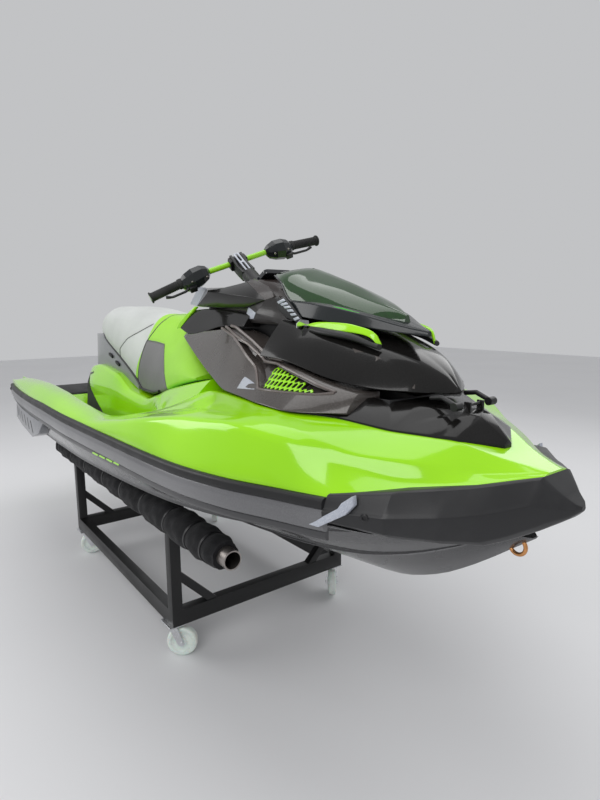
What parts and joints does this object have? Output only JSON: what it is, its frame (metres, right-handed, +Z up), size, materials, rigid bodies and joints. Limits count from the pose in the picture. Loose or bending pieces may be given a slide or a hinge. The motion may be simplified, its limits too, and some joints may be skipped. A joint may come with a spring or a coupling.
{
  "type": "personal watercraft on a wheeled cradle",
  "caption": "Two-seat jet-driven personal watercraft with turning bars, steering nozzle and reverse bucket, opening hood and lift-off seat, on a wheeled steel cradle.",
  "frame": {"origin": "floor level under the middle of the whole object's box", "axes": "+X to the bow, +Y to port, +Z up"},
  "size_m": [3.311, 1.224, 1.5887],
  "materials": {
    "deck_green": "high gloss gel coat",
    "bar_green": "gloss paint",
    "hull_grey": "metallic gel coat",
    "rail_black": "soft moulded bumper",
    "gloss_black": "high gloss paint",
    "graphite": "metallic graphite paint",
    "moulded_black": "moulded plastic",
    "trim_grey": "satin painted panel",
    "cast_aluminium": "sand cast",
    "gauge_glass": "dark display",
    "sponson_silver": "silver paint",
    "deck_mat": "ribbed foam mat",
    "tow_eye": "tinted steel ring",
    "frame_paint": "satin black paint on square tube",
    "bare_steel": "plain steel",
    "bunk_wrap": "wrapped padding",
    "zinc": "zinc plated",
    "seat_vinyl": "grained marine vinyl in pale grey, green and mid grey",
    "tinted_screen": "translucent green",
    "mirror": "mirror",
    "grip_rubber": "ribbed rubber",
    "caster_white": "pale translucent nylon"
  },
  "bodies": {
    "craft": {"hull": "hull_grey", "deck": "deck_green", "rub_rails": "rail_black", "bow_bumper": "rail_black", "nose_panel": "gloss_black", "storage_bin": "moulded_black", "rear_trim": "trim_grey", "grab_handle": "moulded_black", "engine_block": "cast_aluminium", "side_panels": "graphite", "console": "moulded_black", "gauge": "gauge_glass", "steering_mount": "moulded_black", "jet_pump": "cast_aluminium", "ride_plate": "moulded_black", "intake_grate": "cast_aluminium", "sponsons": "sponson_silver", "foot_mats": "deck_mat", "tow_eyes": "tow_eye", "cradle_frame": "frame_paint", "bunk_tubes": "bare_steel", "bunk_pad_starboard": "bunk_wrap", "bunk_pad_port": "bunk_wrap", "caster_plates": "zinc"},
    "seat": {"seat": "seat_vinyl"},
    "hood": {"hood": "gloss_black", "visor": "gloss_black", "windscreen": "tinted_screen", "mirror_housings": "deck_green", "mirror_glass": "mirror", "hood_vents": "sponson_silver"},
    "glovebox_lid": {"glovebox_lid": "gloss_black"},
    "steering": {"handlebar": "bar_green", "bar_clamp": "moulded_black", "grips": "grip_rubber", "control_modules": "moulded_black", "control_levers": "moulded_black"},
    "nozzle": {"steering_nozzle": "cast_aluminium"},
    "bucket": {"reverse_bucket": "moulded_black"},
    "impeller": {"impeller": "bare_steel"},
    "swivel_front_starboard": {"caster_fork_front_starboard": "zinc"},
    "wheel_front_starboard": {"caster_wheel_front_starboard": "caster_white"},
    "swivel_front_port": {"caster_fork_front_port": "zinc"},
    "wheel_front_port": {"caster_wheel_front_port": "caster_white"},
    "swivel_rear_starboard": {"caster_fork_rear_starboard": "zinc"},
    "wheel_rear_starboard": {"caster_wheel_rear_starboard": "caster_white"},
    "swivel_rear_port": {"caster_fork_rear_port": "zinc"},
    "wheel_rear_port": {"caster_wheel_rear_port": "caster_white"}
  },
  "joints": [
    {"name": "steering_turn", "type": "hinge", "parent": "craft", "child": "steering", "pos_m": [0.262, 0, 1.466], "axis": [-0.8387, 0, 0.5446], "range_deg": [0, 46]},
    {"name": "nozzle_turn", "type": "hinge", "parent": "craft", "child": "nozzle", "pos_m": [-1.49, 0, 0.58], "axis": [0, 0, 1], "range_deg": [-36.8, 0]},
    {"name": "bucket_swing", "type": "hinge", "parent": "craft", "child": "bucket", "pos_m": [-1.415, 0, 0.58], "axis": [0, -1, 0], "range_deg": [0, 70]},
    {"name": "impeller_spin", "type": "hinge", "parent": "craft", "child": "impeller", "pos_m": [-1.2, 0, 0.58], "axis": [1, 0, 0], "continuous": true},
    {"name": "hood_lift", "type": "hinge", "parent": "craft", "child": "hood", "pos_m": [1.374, 0, 1.046], "axis": [0, 1, 0], "range_deg": [0, 60]},
    {"name": "glovebox_swing", "type": "hinge", "parent": "craft", "child": "glovebox_lid", "pos_m": [0.262, 0, 1.246], "axis": [0, 1, 0], "range_deg": [0, 40]},
    {"name": "seat_lift", "type": "slide", "parent": "craft", "child": "seat", "axis": [-0.9063, 0, 0.4226], "range_m": [0, 0.9]},
    {"name": "swivel_front_starboard", "type": "hinge", "parent": "craft", "child": "swivel_front_starboard", "pos_m": [0.385, -0.389, 0.12], "axis": [0, 0, 1], "continuous": true},
    {"name": "roll_front_starboard", "type": "hinge", "parent": "swivel_front_starboard", "child": "wheel_front_starboard", "pos_m": [0.40444, -0.36358, 0.056], "axis": [0.7944, -0.6074, 0], "continuous": true},
    {"name": "swivel_front_port", "type": "hinge", "parent": "craft", "child": "swivel_front_port", "pos_m": [0.385, 0.389, 0.12], "axis": [0, 0, 1], "continuous": true},
    {"name": "roll_front_port", "type": "hinge", "parent": "swivel_front_port", "child": "wheel_front_port", "pos_m": [0.41042, 0.36956, 0.056], "axis": [-0.6074, -0.7944, 0], "continuous": true},
    {"name": "swivel_rear_starboard", "type": "hinge", "parent": "craft", "child": "swivel_rear_starboard", "pos_m": [-0.72, -0.389, 0.12], "axis": [0, 0, 1], "continuous": true},
    {"name": "roll_rear_starboard", "type": "hinge", "parent": "swivel_rear_starboard", "child": "wheel_rear_starboard", "pos_m": [-0.70905, -0.35893, 0.056], "axis": [0.9397, -0.342, 0], "continuous": true},
    {"name": "swivel_rear_port", "type": "hinge", "parent": "craft", "child": "swivel_rear_port", "pos_m": [-0.72, 0.389, 0.12], "axis": [0, 0, 1], "continuous": true},
    {"name": "roll_rear_port", "type": "hinge", "parent": "swivel_rear_port", "child": "wheel_rear_port", "pos_m": [-0.69229, 0.373, 0.056], "axis": [-0.5, -0.866, 0], "continuous": true}
  ],
  "couplings": [
    {"joint": "nozzle_turn", "follows": "steering_turn", "ratio": -0.8}
  ]
}
